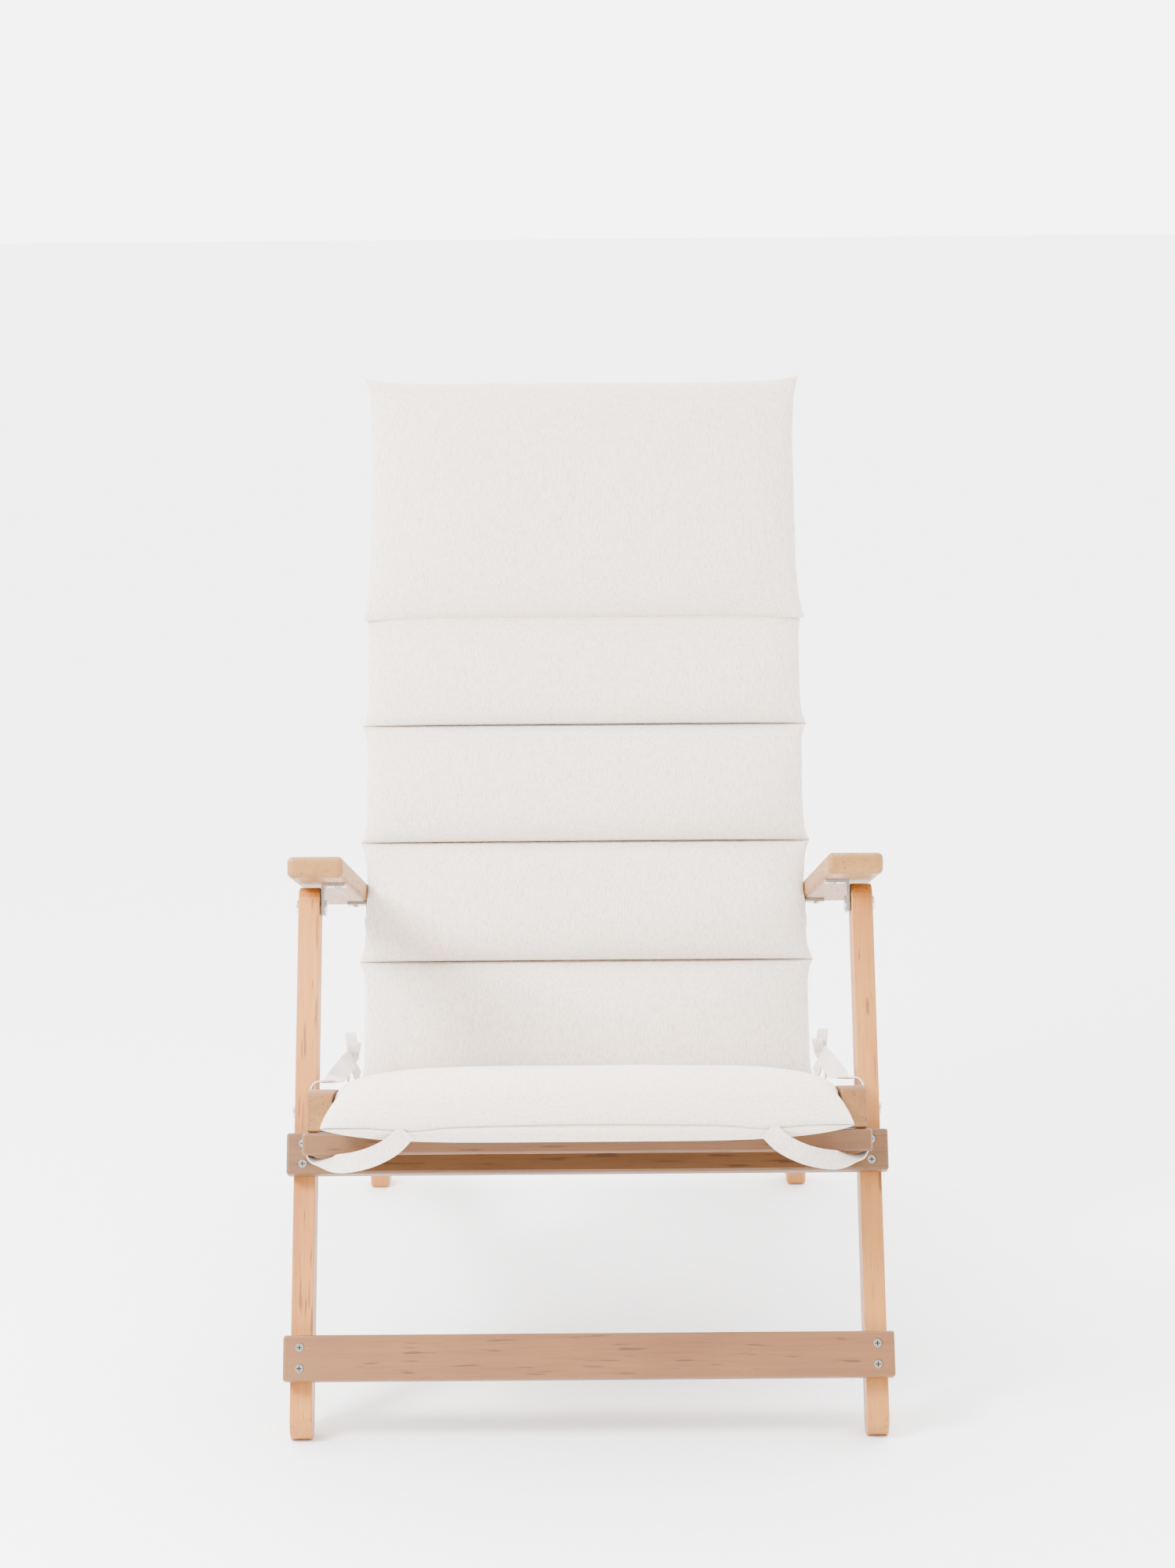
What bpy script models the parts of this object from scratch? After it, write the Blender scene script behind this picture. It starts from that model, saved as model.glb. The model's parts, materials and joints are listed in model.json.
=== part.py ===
"""Folding deck chair with a quilted cushion: wooden frame, steel hardware, soft parts.

Units are metres, +Z is up, the chair faces -Y. The frame is a parallelogram: the front legs turn
on the seat rails, the back stiles turn on the same rails, and the armrests join legs and stiles.
Side-view frames: 'rail' runs back and down along the seat, 'leg' and 'back' run up and back.
"""
from math import cos, pi, radians, sin, tan

import bmesh
import bpy
from mathutils import Matrix, Vector

# Angles of the open chair
RAIL_SLOPE = radians(15.5)
LEAN = radians(25.6)
FOLD_ANGLE = LEAN - RAIL_SLOPE

# Linkage
LEG_BELOW_RAIL = 0.3102
ARM_RISE = 0.2146
LINK = 0.304
FOOT_Y = 0.0235
FOOT_CUT = 0.001

# Half-widths across the chair
RAIL_OUTER = 0.2734
RAIL_THICK = 0.024
LEG_GAP = 0.002
LEG_THICK = 0.022
STILE_GAP = 0.0054
STILE_THICK = 0.022
BAR_OVERHANG = 0.0058
SLAT_OVERHANG = 0.0049

# Sections and lengths
LEG_DEPTH = 0.040
STILE_DEPTH = 0.040
STILE_BELOW = 0.045
STILE_ABOVE = 0.830
RAIL_DEPTH = 0.042
RAIL_FRONT = 0.1504
REAR_LEG_FRONT_Y = 0.873
REAR_LEG_DEPTH = 0.042
REAR_LEG_ABOVE_RAIL = 0.0099
BAR_THICK = 0.020
UPPER_BAR_HEIGHT = 0.042
UPPER_BAR_REST = 0.0005
LOWER_BAR_HEIGHT = 0.045
LOWER_BAR_BELOW = 0.254
FRONT_SLAT_DEPTH = 0.045
FRONT_SLAT_THICK = 0.022
STRETCHER_HEIGHT = 0.030
STRETCHER_THICK = 0.018
STRETCHER_DROP = 0.0083
RAIL_CORNER = 0.006

# Slats
SLAT_THICK = 0.012
SEAT_SLAT_RISE = 0.004
SEAT_SLATS_AHEAD = 2
SEAT_SLATS_BEHIND = 4
SEAT_SLAT_ROOM = 0.009
SEAT_SLAT_FRONT = 0.0514
SEAT_SLAT_WIDTH = 0.048
SEAT_SLAT_END = 0.073
BACK_SLATS = 8
BACK_SLAT_INSET = 0.003
BACK_SLAT_WIDTH = 0.050
BACK_SLATS_BELOW_ARM = 2
BACK_SLAT_ABOVE_ARM = 0.0604
BACK_SLAT_STEP = 0.095
MORTISE = 0.006

# Armrests
ARM_OVERHANG = 0.0056
ARM_WIDTH = 0.0568
ARM_THICK = 0.022
ARM_FRONT = 0.088
ARM_REAR = 0.038
ARM_ABOVE_BOLT = 0.024

# Steel hardware
BOLT_RADIUS = 0.004
HEAD_RADIUS = 0.0075
HEAD_HEIGHT = 0.0032
CAP_HEIGHT = 0.0014
WASHER_RADIUS = 0.010
PLATE = 0.003
BRACKET_LENGTH = 0.030
BRACKET_REACH = 0.0244
BRACKET_BELOW_BOLT = 0.009
SCREW_RADIUS = 0.0022
SCREW_HEAD_RADIUS = 0.0042
SCREW_SPACING = 0.0206
SCREW_INSET = 0.0168
SCREW_FACE = 0.0005
SCREW_PROUD = 0.0004
SCREW_POINT = 0.004
SCREW_SIDES = 14
REAR_SCREW_FACE = 0.0025
REAR_SCREW_BITE = 0.030
BRACKET_GAP = 0.0015

# Cushion
SEAT_PAD_AHEAD = 0.040
SEAT_PAD_ROOM = 0.0034
SEAT_PAD_THICK = 0.045
SEAT_PAD_SHORT = 0.072
BACK_PAD_ROOM = 0.0032
BACK_PAD_THICK = 0.045
BACK_PAD_START = 0.012
BACK_PAD_END = 0.560
PILLOW_END = 0.845
PILLOW_THICK = 0.062
PAD_EDGE = 0.012
STRAP_WIDTH = 0.019
STRAP_THICK = 0.0016
STRAP_REAR = 0.205

# Fits and edges
GAP = 0.0003
HOLE_CLEARANCE = 0.0004
CUT_MARGIN = 0.002
WOOD_EDGE = 0.0025
SLAT_EDGE = 0.0015
REAR_LEG_EDGE = 0.004
ARM_EDGE = 0.0055

WOOD = (0.62, 0.36, 0.17, 1.0)
STEEL = (0.62, 0.61, 0.59, 1.0)
FABRIC = (0.72, 0.69, 0.65, 1.0)

RAIL_INNER = RAIL_OUTER - RAIL_THICK
LEG_INNER = RAIL_OUTER + LEG_GAP
LEG_OUTER = LEG_INNER + LEG_THICK
STILE_OUTER = RAIL_INNER - STILE_GAP
STILE_INNER = STILE_OUTER - STILE_THICK
BAR_HALF = LEG_OUTER + BAR_OVERHANG
SLAT_HALF = RAIL_OUTER + SLAT_OVERHANG
ARM_OUTER = LEG_OUTER + ARM_OVERHANG
SEAT_PAD_HALF = RAIL_INNER - SEAT_PAD_ROOM
BACK_PAD_HALF = ARM_OUTER - ARM_WIDTH - BACK_PAD_ROOM
SEAT_PAD_END = LINK - SEAT_PAD_SHORT
PLATE_OUTER = LEG_INNER - BRACKET_GAP
REAR_PLATE_INNER = STILE_OUTER + BRACKET_GAP

FOOT_Z = LEG_DEPTH / 2 - FOOT_CUT
LEG_PIVOT = Vector((0.0, FOOT_Y + LEG_BELOW_RAIL * sin(LEAN), FOOT_Z + LEG_BELOW_RAIL * cos(LEAN)))
BACK_PIVOT = LEG_PIVOT + Vector((0.0, LINK * cos(RAIL_SLOPE), -LINK * sin(RAIL_SLOPE)))
RAIL_END_Z = LEG_PIVOT.z - (REAR_LEG_FRONT_Y - LEG_PIVOT.y) * tan(RAIL_SLOPE)
REAR_LEG_HEIGHT = RAIL_END_Z + RAIL_DEPTH / 2 / cos(RAIL_SLOPE) + REAR_LEG_ABOVE_RAIL

SIDES = (("left", -1), ("right", 1))


def clear_scene():
    """Remove every object that the file opened with."""
    for item in list(bpy.data.objects):
        bpy.data.objects.remove(item, do_unlink=True)


def new_collection(name):
    """Add a collection under the scene."""
    collection = bpy.data.collections.new(name)
    bpy.context.scene.collection.children.link(collection)
    return collection


clear_scene()
CHAIR = new_collection("folding_deck_chair")
CUTTERS = new_collection("cutters")


def frame_empty(name, location, angle, parent=None):
    """Add an empty whose X axis is a joint axis, turned by an angle about it."""
    empty = bpy.data.objects.new(name, None)
    CHAIR.objects.link(empty)
    empty.location = location
    empty.rotation_euler = (angle, 0.0, 0.0)
    empty.parent = parent
    return empty


def material(name, colour, roughness, metallic):
    """Make the piece's own Principled material."""
    made = bpy.data.materials.new(name)
    made.use_nodes = True
    shader = made.node_tree.nodes["Principled BSDF"]
    shader.inputs["Base Color"].default_value = colour
    shader.inputs["Roughness"].default_value = roughness
    shader.inputs["Metallic"].default_value = metallic
    return made


def add_piece(name, mesh, parent, finish):
    """Link a mesh as a named piece under a frame."""
    piece = bpy.data.objects.new(name, mesh)
    CHAIR.objects.link(piece)
    piece.parent = parent
    colour, roughness, metallic = finish
    mesh.materials.clear()
    mesh.materials.append(material(name, colour, roughness, metallic))
    return piece


WOOD_FINISH = (WOOD, 0.5, 0.0)
STEEL_FINISH = (STEEL, 0.25, 1.0)
FABRIC_FINISH = (FABRIC, 0.9, 0.0)


def bevel(piece, width, segments):
    """Round a piece's sharp edges."""
    rounding = piece.modifiers.new("edges", "BEVEL")
    rounding.width = width
    rounding.segments = segments
    rounding.limit_method = "ANGLE"
    rounding.angle_limit = radians(35)
    rounding.harden_normals = False
    return rounding


def cube_mesh(name, low, high):
    """Make a box mesh between two corners."""
    mesh = bpy.data.meshes.new(name)
    work = bmesh.new()
    size = Vector(high) - Vector(low)
    middle = (Vector(high) + Vector(low)) / 2
    bmesh.ops.create_cube(work, size=1.0, matrix=Matrix.Translation(middle) @ Matrix.Diagonal((*size, 1.0)))
    work.to_mesh(mesh)
    work.free()
    return mesh


def box(name, low, high, parent, finish=WOOD_FINISH, edge=WOOD_EDGE, segments=2):
    """Add a box with rounded edges."""
    piece = add_piece(name, cube_mesh(name, low, high), parent, finish)
    if edge:
        bevel(piece, edge, segments)
    return piece


def arc(centre, radius, start, end, steps):
    """Points on an arc in a flat outline."""
    points = []
    for step in range(steps + 1):
        angle = start + (end - start) * step / steps
        points.append((centre[0] + radius * cos(angle), centre[1] + radius * sin(angle)))
    return points


def outline_mesh(name, points, low, high, turn):
    """Extrude a closed flat outline from low to high and turn it into place."""
    curve = bpy.data.curves.new(name, "CURVE")
    curve.dimensions = "2D"
    curve.fill_mode = "BOTH"
    curve.extrude = (high - low) / 2
    spline = curve.splines.new("POLY")
    spline.points.add(len(points) - 1)
    for slot, (across, up) in zip(spline.points, points):
        slot.co = (across, up, 0.0, 1.0)
    spline.use_cyclic_u = True
    guide = bpy.data.objects.new(name, curve)
    bpy.context.scene.collection.objects.link(guide)
    evaluated = guide.evaluated_get(bpy.context.evaluated_depsgraph_get())
    mesh = bpy.data.meshes.new_from_object(evaluated)
    bpy.data.objects.remove(guide, do_unlink=True)
    work = bmesh.new()
    work.from_mesh(mesh)
    bmesh.ops.remove_doubles(work, verts=work.verts, dist=0.00001)
    bmesh.ops.translate(work, verts=work.verts, vec=(0.0, 0.0, (high + low) / 2))
    bmesh.ops.transform(work, verts=work.verts, matrix=turn)
    bmesh.ops.recalc_face_normals(work, faces=work.faces)
    work.to_mesh(mesh)
    work.free()
    return mesh


# An outline's first axis becomes Y, its second Z, and its thickness runs along X.
SIDE_TURN = Matrix(((0, 0, 1, 0), (1, 0, 0, 0), (0, 1, 0, 0), (0, 0, 0, 1)))
# An outline's first axis becomes X, its second Z, and its thickness runs along Y.
FRONT_TURN = Matrix(((1, 0, 0, 0), (0, 0, -1, 0), (0, 1, 0, 0), (0, 0, 0, 1)))


def round_ended(low, high, depth):
    """Outline of a bar that stands from low to high with half-round ends."""
    half = depth / 2
    top = arc((0.0, high - half), half, 0.0, pi, 10)
    bottom = arc((0.0, low + half), half, pi, 2 * pi, 10)
    return top + bottom


def cutter(name, mesh, parent):
    """Add a cutting shape that isn't part of the chair."""
    tool = bpy.data.objects.new(name, mesh)
    CUTTERS.objects.link(tool)
    tool.parent = parent
    tool.hide_render = True
    tool.display_type = "WIRE"
    return tool


def cut(piece, tool):
    """Take a cutter's shape out of a piece."""
    step = piece.modifiers.new(tool.name, "BOOLEAN")
    step.operation = "DIFFERENCE"
    step.solver = "EXACT"
    step.object = tool


def join(piece, tool):
    """Fuse a shape with a piece."""
    step = piece.modifiers.new(tool.name, "BOOLEAN")
    step.operation = "UNION"
    step.solver = "EXACT"
    step.object = tool


def cylinder_mesh(name, radius, start, end, axis, sides=20):
    """Make a closed cylinder along X or Z between two stations."""
    mesh = bpy.data.meshes.new(name)
    work = bmesh.new()
    bmesh.ops.create_cone(work, cap_ends=True, segments=sides, radius1=radius, radius2=radius,
                          depth=end - start)
    bmesh.ops.translate(work, verts=work.verts, vec=(0.0, 0.0, (start + end) / 2))
    if axis == "X":
        bmesh.ops.rotate(work, verts=work.verts, cent=(0, 0, 0), matrix=Matrix.Rotation(pi / 2, 3, "Y"))
    work.to_mesh(mesh)
    work.free()
    return mesh


def turned_mesh(profile, steps=20, closed=False):
    """Turn a profile of (radius, height) points about Z with a Screw modifier."""
    mesh = bpy.data.meshes.new("profile")
    points = [(radius, 0.0, height) for radius, height in profile]
    edges = [(index, index + 1) for index in range(len(points) - 1)]
    if closed:
        edges.append((len(points) - 1, 0))
    mesh.from_pydata(points, edges, [])
    guide = bpy.data.objects.new("profile", mesh)
    bpy.context.scene.collection.objects.link(guide)
    screw = guide.modifiers.new("turn", "SCREW")
    screw.steps = steps
    screw.render_steps = steps
    screw.use_merge_vertices = True
    screw.merge_threshold = 0.00001
    evaluated = guide.evaluated_get(bpy.context.evaluated_depsgraph_get())
    made = bpy.data.meshes.new_from_object(evaluated)
    bpy.data.objects.remove(guide, do_unlink=True)
    return made


def group_mesh(name, mesh, places):
    """Copy a mesh to several places as separate solids of one mesh."""
    work = bmesh.new()
    for place in places:
        start = len(work.verts)
        work.from_mesh(mesh)
        work.verts.ensure_lookup_table()
        bmesh.ops.transform(work, verts=work.verts[start:], matrix=place)
    made = bpy.data.meshes.new(name)
    work.to_mesh(made)
    work.free()
    made.shade_smooth()
    made.set_sharp_from_angle(angle=radians(35))
    return made


def outward(side):
    """Turn a shape's +Z to point out of the chair on one side."""
    return Matrix.Rotation(side * pi / 2, 4, "Y")


ROOT = frame_empty("chair", (0.0, 0.0, 0.0), 0.0)
RAIL = frame_empty("seat_frame", LEG_PIVOT, -RAIL_SLOPE, ROOT)
LEG = frame_empty("front_leg_frame", LEG_PIVOT, -LEAN, ROOT)
BACK = frame_empty("back_frame", BACK_PIVOT, -LEAN, ROOT)
ARM = frame_empty("armrest_pivot", (0.0, 0.0, ARM_RISE), FOLD_ANGLE, LEG)


def bolt_hole(name, parent, up=0.0, along=0.0):
    """Cutter for a bolt that crosses the chair at a frame's point."""
    radius = BOLT_RADIUS + HOLE_CLEARANCE
    tool = cutter(name, cylinder_mesh(name, radius, -2 * BAR_HALF, 2 * BAR_HALF, "X"), parent)
    tool.location = (0.0, along, up)
    return tool


LEG_HOLE = bolt_hole("leg_bolt_hole", LEG)
ARM_HOLE = bolt_hole("armrest_front_bolt_hole", LEG, up=ARM_RISE)
BACK_HOLE = bolt_hole("stile_bolt_hole", BACK)
REAR_ARM_HOLE = bolt_hole("armrest_rear_bolt_hole", BACK, up=ARM_RISE)


def floor_cutter():
    """A slab under the floor that flattens the feet."""
    reach = 2 * REAR_LEG_FRONT_Y
    return cutter("floor_trim", cube_mesh("floor_trim", (-reach, -reach, -0.1), (reach, reach, 0.0)), ROOT)


FLOOR = floor_cutter()


def span(side, inner, outer):
    """Low and high X of something between two half-widths on one side."""
    return (inner, outer) if side > 0 else (-outer, -inner)


def front_legs():
    """Front legs with half-round ends, from the floor up to the armrest bolt."""
    outline = round_ended(-LEG_BELOW_RAIL - LEG_DEPTH / 2, ARM_RISE + LEG_DEPTH / 2, LEG_DEPTH)
    for label, side in SIDES:
        low, high = span(side, LEG_INNER, LEG_OUTER)
        name = "leg_front_" + label
        leg = add_piece(name, outline_mesh(name, outline, low, high, SIDE_TURN), LEG, WOOD_FINISH)
        bevel(leg, WOOD_EDGE, 2)
        for tool in (LEG_HOLE, ARM_HOLE, FLOOR):
            cut(leg, tool)


def wood_screw_mesh():
    """Countersunk screw that points along -Z with its head's face at zero."""
    flare = SCREW_HEAD_RADIUS - SCREW_RADIUS
    tip = -(BAR_THICK + LEG_DEPTH / 3)
    profile = [(0.0, 0.0), (SCREW_HEAD_RADIUS, 0.0), (SCREW_HEAD_RADIUS, -SCREW_FACE),
               (SCREW_RADIUS, -SCREW_FACE - flare), (SCREW_RADIUS, tip + SCREW_POINT), (0.0, tip)]
    return turned_mesh(profile, SCREW_SIDES)


def screw_hole_mesh():
    """Pilot and countersink for a wood screw, with clearance all round."""
    flare = SCREW_HEAD_RADIUS - SCREW_RADIUS
    tip = -(BAR_THICK + LEG_DEPTH / 3) - GAP
    wide = SCREW_HEAD_RADIUS + GAP
    narrow = SCREW_RADIUS + GAP
    profile = [(0.0, CUT_MARGIN), (wide, CUT_MARGIN), (wide, -SCREW_FACE - GAP),
               (narrow, -SCREW_FACE - GAP - flare), (narrow, tip), (0.0, tip)]
    return turned_mesh(profile, SCREW_SIDES)


def crossbar(name, low, high):
    """Bar across the legs' front faces with two screws at each end."""
    face = -LEG_DEPTH / 2 - GAP
    bar = box(name, (-BAR_HALF, face - BAR_THICK, low), (BAR_HALF, face, high), LEG)
    head = face - BAR_THICK + SCREW_PROUD
    middle = (low + high) / 2
    places = []
    for label, side in SIDES:
        for level, step in (("low", -0.5), ("high", 0.5)):
            spot = Vector((side * (BAR_HALF - SCREW_INSET), head, middle + step * SCREW_SPACING))
            place = Matrix.Translation(spot) @ Matrix.Rotation(pi / 2, 4, "X")
            places.append(place)
            screw_name = "%s_screw_%s_%s" % (name, label, level)
            add_piece(screw_name, group_mesh(screw_name, wood_screw_mesh(), [place]), LEG, STEEL_FINISH)
    holes = cutter(name + "_screw_holes", group_mesh(name, screw_hole_mesh(), places), LEG)
    cut(bar, holes)
    for label, _ in SIDES:
        cut(bpy.data.objects["leg_front_" + label], holes)


def crossbars():
    """The upper bar rests under the rails and stops the frame; the lower one is near the feet."""
    face_reach = LEG_DEPTH / 2 + GAP + BAR_THICK
    drop = (RAIL_DEPTH / 2 + UPPER_BAR_REST + face_reach * sin(FOLD_ANGLE)) / cos(FOLD_ANGLE)
    crossbar("crossbar_upper", -drop - UPPER_BAR_HEIGHT, -drop)
    half = LOWER_BAR_HEIGHT / 2
    crossbar("crossbar_lower", -LOWER_BAR_BELOW - half, -LOWER_BAR_BELOW + half)


def rail_station(depth_y, height):
    """Distance along the rail frame at which a height reaches a given depth of the chair."""
    return (depth_y - LEG_PIVOT.y - height * sin(RAIL_SLOPE)) / cos(RAIL_SLOPE)


def rail_outline():
    """Rail from its rounded front end to the rear leg's upright face."""
    half = RAIL_DEPTH / 2
    corner = RAIL_CORNER
    back_y = REAR_LEG_FRONT_Y - GAP
    front = -RAIL_FRONT
    top = arc((front + corner, half - corner), corner, pi / 2, pi, 4)
    bottom = arc((front + corner, -half + corner), corner, pi, 1.5 * pi, 4)
    return top + bottom + [(rail_station(back_y, -half), -half), (rail_station(back_y, half), half)]


def seat_slat_stations():
    """Middles of the seat slats along the rail frame, spread ahead of the leg bolt and behind it."""
    first = SEAT_SLAT_WIDTH / 2 + SEAT_SLAT_ROOM
    front_step = (RAIL_FRONT - SEAT_SLAT_FRONT - first) / (SEAT_SLATS_AHEAD - 1)
    rear_step = (LINK - SEAT_SLAT_END - first) / (SEAT_SLATS_BEHIND - 1)
    ahead = [-first - index * front_step for index in reversed(range(SEAT_SLATS_AHEAD))]
    behind = [first + index * rear_step for index in range(SEAT_SLATS_BEHIND)]
    return ahead + behind


def seat_rails():
    """Two rails with mortises for the slats and holes for the bolts."""
    outline = rail_outline()
    for label, side in SIDES:
        low, high = span(side, RAIL_INNER, RAIL_OUTER)
        name = "seat_rail_" + label
        rail = add_piece(name, outline_mesh(name, outline, low, high, SIDE_TURN), RAIL, WOOD_FINISH)
        bevel(rail, WOOD_EDGE, 2)
        for tool in (LEG_HOLE, BACK_HOLE):
            cut(rail, tool)


def slat(name, middle, low, parent, inner, axis):
    """Slat between two members, let into a mortise in each; axis is its width's axis."""
    half_width = (SEAT_SLAT_WIDTH if axis == "Y" else BACK_SLAT_WIDTH) / 2
    reach = inner + MORTISE
    if axis == "Y":
        corner_low = (-reach, middle - half_width, low)
        corner_high = (reach, middle + half_width, low + SLAT_THICK)
    else:
        corner_low = (-reach, low, middle - half_width)
        corner_high = (reach, low + SLAT_THICK, middle + half_width)
    box(name, corner_low, corner_high, parent, edge=SLAT_EDGE, segments=1)
    room = Vector((GAP, GAP, GAP))
    mesh = cube_mesh(name, Vector(corner_low) - room, Vector(corner_high) + room)
    return cutter(name + "_mortise", mesh, parent)


def seat_slats():
    """Slats low down between the rails."""
    for index, middle in enumerate(seat_slat_stations(), 1):
        low = -RAIL_DEPTH / 2 + SEAT_SLAT_RISE
        tool = slat("seat_slat_%d" % index, middle, low, RAIL, RAIL_INNER, "Y")
        for label, _ in SIDES:
            cut(bpy.data.objects["seat_rail_" + label], tool)


def front_slat():
    """Slat fixed under the rails' front ends."""
    top = -RAIL_DEPTH / 2 - GAP
    bottom = top - FRONT_SLAT_THICK
    rear = -RAIL_FRONT + FRONT_SLAT_DEPTH
    box("seat_front_slat", (-SLAT_HALF, -RAIL_FRONT, bottom), (SLAT_HALF, rear, top), RAIL)


def rear_legs():
    """Short upright rear legs that the rails butt against, and a stretcher between them."""
    back_y = REAR_LEG_FRONT_Y + REAR_LEG_DEPTH
    for label, side in SIDES:
        low, high = span(side, RAIL_INNER, RAIL_OUTER)
        box("rear_leg_" + label, (low, REAR_LEG_FRONT_Y, 0.0), (high, back_y, REAR_LEG_HEIGHT), ROOT,
            edge=REAR_LEG_EDGE)
    middle_y = (REAR_LEG_FRONT_Y + back_y) / 2
    half = STRETCHER_THICK / 2
    reach = RAIL_INNER - GAP
    low_z = RAIL_END_Z - STRETCHER_DROP - STRETCHER_HEIGHT / 2
    box("rear_stretcher", (-reach, middle_y - half, low_z), (reach, middle_y + half, low_z + STRETCHER_HEIGHT),
        ROOT)


def rear_leg_screws():
    """Long screws from behind, through each rear leg into the end of its rail."""
    back_y = REAR_LEG_FRONT_Y + REAR_LEG_DEPTH
    length = REAR_LEG_DEPTH + REAR_SCREW_BITE
    shoulder = -REAR_SCREW_FACE
    head = [(0.0, 0.0), (SCREW_HEAD_RADIUS, 0.0), (SCREW_HEAD_RADIUS, shoulder), (SCREW_RADIUS, shoulder),
            (SCREW_RADIUS, -length + SCREW_POINT), (0.0, -length)]
    wide = SCREW_HEAD_RADIUS + GAP
    narrow = SCREW_RADIUS + GAP
    bore = [(0.0, CUT_MARGIN), (wide, CUT_MARGIN), (wide, shoulder - GAP), (narrow, shoulder - GAP),
            (narrow, -length - GAP), (0.0, -length - GAP)]
    places = []
    for label, side in SIDES:
        spot = Vector((side * (RAIL_OUTER - RAIL_THICK / 2), back_y - SCREW_FACE, RAIL_END_Z))
        place = Matrix.Translation(spot) @ Matrix.Rotation(-pi / 2, 4, "X")
        places.append(place)
        name = "rear_leg_screw_" + label
        add_piece(name, group_mesh(name, turned_mesh(head, SCREW_SIDES), [place]), ROOT, STEEL_FINISH)
    holes = cutter("rear_leg_screw_holes", group_mesh("holes", turned_mesh(bore, SCREW_SIDES), places), ROOT)
    for label, _ in SIDES:
        cut(bpy.data.objects["rear_leg_" + label], holes)
        cut(bpy.data.objects["seat_rail_" + label], holes)


def back_stiles():
    """Back stiles with half-round ends, turning between the rails."""
    outline = round_ended(-STILE_BELOW, STILE_ABOVE, STILE_DEPTH)
    for label, side in SIDES:
        low, high = span(side, STILE_INNER, STILE_OUTER)
        name = "back_stile_" + label
        stile = add_piece(name, outline_mesh(name, outline, low, high, SIDE_TURN), BACK, WOOD_FINISH)
        bevel(stile, WOOD_EDGE, 2)
        for tool in (BACK_HOLE, REAR_ARM_HOLE):
            cut(stile, tool)


def back_slats():
    """Slats let into the stiles, just behind their front faces."""
    for index in range(BACK_SLATS):
        middle = ARM_RISE + BACK_SLAT_ABOVE_ARM + (index - BACK_SLATS_BELOW_ARM) * BACK_SLAT_STEP
        low = -STILE_DEPTH / 2 + BACK_SLAT_INSET
        tool = slat("back_slat_%d" % (index + 1), middle, low, BACK, STILE_INNER, "Z")
        for label, _ in SIDES:
            cut(bpy.data.objects["back_stile_" + label], tool)


def armrests():
    """Flat armrests with well-rounded edges."""
    for label, side in SIDES:
        low, high = span(side, ARM_OUTER - ARM_WIDTH, ARM_OUTER)
        box("armrest_" + label, (low, -ARM_FRONT, ARM_ABOVE_BOLT),
            (high, LINK + ARM_REAR, ARM_ABOVE_BOLT + ARM_THICK), ARM, edge=ARM_EDGE, segments=3)


def bracket(name, plate_low, plate_high, flange_low, flange_high, station):
    """Steel angle: an upright plate at a bolt and a flange under the armrest."""
    top = ARM_ABOVE_BOLT - GAP
    inside = top - PLATE
    foot = -BRACKET_BELOW_BOLT
    if flange_low < plate_low:
        outline = [(plate_high, foot), (plate_high, top), (flange_low, top), (flange_low, inside),
                   (plate_low, inside), (plate_low, foot)]
    else:
        outline = [(plate_low, foot), (plate_high, foot), (plate_high, inside), (flange_high, inside),
                   (flange_high, top), (plate_low, top)]
    half = BRACKET_LENGTH / 2
    mesh = outline_mesh(name, outline, -station - half, -station + half, FRONT_TURN)
    return add_piece(name, mesh, ARM, STEEL_FINISH)


def bracket_set(label, side):
    """Front and rear brackets of one armrest, each with a bolt hole."""
    front = sorted((side * (PLATE_OUTER - PLATE), side * PLATE_OUTER))
    flange_in = sorted((side * (PLATE_OUTER - BRACKET_REACH), side * PLATE_OUTER))
    rear = sorted((side * REAR_PLATE_INNER, side * (REAR_PLATE_INNER + PLATE)))
    flange_out = sorted((side * REAR_PLATE_INNER, side * (REAR_PLATE_INNER + BRACKET_REACH)))
    radius = BOLT_RADIUS + 2 * HOLE_CLEARANCE
    for name, plate, flange, station in (("front", front, flange_in, 0.0), ("rear", rear, flange_out, LINK)):
        piece_name = "bracket_%s_%s" % (name, label)
        piece = bracket(piece_name, *plate, *flange, station)
        mesh = cylinder_mesh(piece_name, radius, -2 * BAR_HALF, 2 * BAR_HALF, "X")
        hole = cutter(piece_name + "_hole", mesh, ARM)
        hole.location = (0.0, station, 0.0)
        cut(piece, hole)


def bolt(name, side, outer, inner, head_height, parent, up=0.0, along=0.0):
    """Pivot bolt with a domed head outside and a low cap inside."""
    top = outer + GAP
    bottom = inner - GAP
    profile = [(0.0, top + head_height), (HEAD_RADIUS * 0.86, top + head_height),
               (HEAD_RADIUS, top + head_height * 0.7), (HEAD_RADIUS, top), (BOLT_RADIUS, top),
               (BOLT_RADIUS, bottom), (HEAD_RADIUS, bottom), (HEAD_RADIUS, bottom - CAP_HEIGHT),
               (0.0, bottom - CAP_HEIGHT)]
    piece = add_piece(name, group_mesh(name, turned_mesh(profile), [outward(side)]), parent, STEEL_FINISH)
    piece.location = (0.0, along, up)


def washer(name, side, low, high, parent, up=0.0):
    """Flat washer that spaces two members on a pivot."""
    inner = BOLT_RADIUS + HOLE_CLEARANCE
    profile = [(inner, high - GAP), (WASHER_RADIUS, high - GAP), (WASHER_RADIUS, low + GAP),
               (inner, low + GAP)]
    piece = add_piece(name, group_mesh(name, turned_mesh(profile, 20, True), [outward(side)]), parent,
                      STEEL_FINISH)
    piece.location = (0.0, 0.0, up)


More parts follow.
